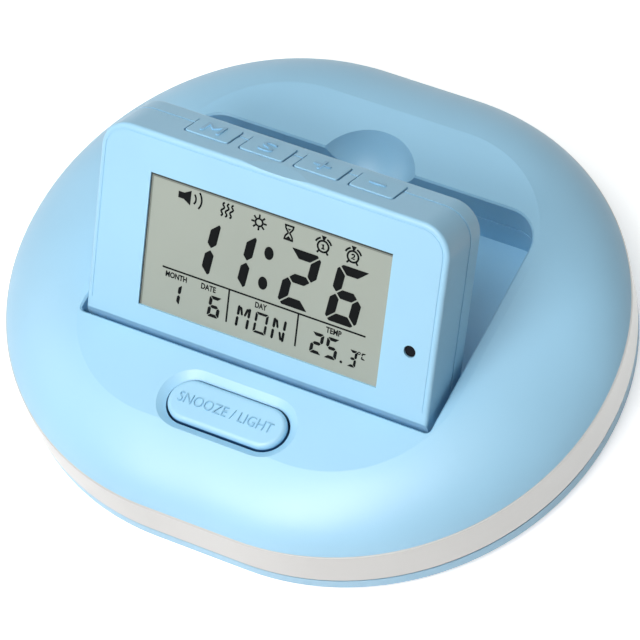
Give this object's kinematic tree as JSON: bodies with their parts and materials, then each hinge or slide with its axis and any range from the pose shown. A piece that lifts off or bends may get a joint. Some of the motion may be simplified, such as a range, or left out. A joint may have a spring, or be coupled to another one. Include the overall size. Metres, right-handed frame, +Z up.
{
  "type": "vibrating alarm clock",
  "caption": "Pebble-shaped vibrating alarm clock with a light ring, a snooze pill and a tilting LCD head that folds flat into a bay in its deck.",
  "frame": {"origin": "centre of the base's plan at the level of the feet", "axes": "+Z up, the display faces -Y, +X to the right of someone who looks at the display"},
  "size_m": [0.1216, 0.1028, 0.055],
  "materials": {
    "housing_blue": "satin",
    "head_blue": "satin",
    "button_blue": "satin",
    "ring_diffuser": "translucent",
    "display_glass": "matte",
    "light_plate": "gloss",
    "board": "solder mask",
    "rubber": "matte",
    "steel": "plated",
    "heavy_metal": "sintered",
    "cell_foil": "foil",
    "black_plastic": "matte",
    "led": "clear"
  },
  "bodies": {
    "base": {"upper_housing": "housing_blue", "light_ring": "ring_diffuser", "bottom_cover": "housing_blue", "rubber_feet": "rubber", "housing_screws": "steel", "snooze_switch": "black_plastic", "main_board": "board", "usb_socket": "steel", "battery_cell": "cell_foil", "speaker": "black_plastic", "vibration_motor": "steel", "motor_clamp": "steel", "led_strip": "board", "ring_leds": "led", "hinge_pins": "steel"},
    "snooze": {"snooze_button": "button_blue"},
    "rotor": {"motor_shaft": "steel", "eccentric_weight": "heavy_metal"},
    "head": {"head_bezel": "head_blue", "head_rear_shell": "head_blue", "lcd_glass": "display_glass", "lcd_light_plate": "light_plate", "head_board": "board", "light_sensor": "black_plastic", "head_screws": "steel", "key_switches": "black_plastic"},
    "mode_key_body": {"mode_key": "button_blue"},
    "set_key_body": {"set_key": "button_blue"},
    "plus_key_body": {"plus_key": "button_blue"},
    "minus_key_body": {"minus_key": "button_blue"}
  },
  "joints": [
    {"name": "head_tilt", "type": "hinge", "parent": "base", "child": "head", "pos_m": [0, -0.01777, 0.01577], "axis": [1, 0, 0], "range_deg": [-55.5, 0]},
    {"name": "snooze_press", "type": "slide", "parent": "base", "child": "snooze", "axis": [0, 0, -1], "range_m": [0, 0.001], "stiffness_N_per_m": 300, "springref_m": -0.001},
    {"name": "motor_spin", "type": "hinge", "parent": "base", "child": "rotor", "pos_m": [0.0464, 0, 0.0096], "axis": [0, 1, 0], "continuous": true},
    {"name": "mode_key_press", "type": "slide", "parent": "head", "child": "mode_key_body", "axis": [0, -0.5664, -0.8241], "range_m": [0, 0.0006], "stiffness_N_per_m": 300, "springref_m": -0.001},
    {"name": "set_key_press", "type": "slide", "parent": "head", "child": "set_key_body", "axis": [0, -0.5664, -0.8241], "range_m": [0, 0.0006], "stiffness_N_per_m": 300, "springref_m": -0.001},
    {"name": "plus_key_press", "type": "slide", "parent": "head", "child": "plus_key_body", "axis": [0, -0.5664, -0.8241], "range_m": [0, 0.0006], "stiffness_N_per_m": 300, "springref_m": -0.001},
    {"name": "minus_key_press", "type": "slide", "parent": "head", "child": "minus_key_body", "axis": [0, -0.5664, -0.8241], "range_m": [0, 0.0006], "stiffness_N_per_m": 300, "springref_m": -0.001}
  ]
}
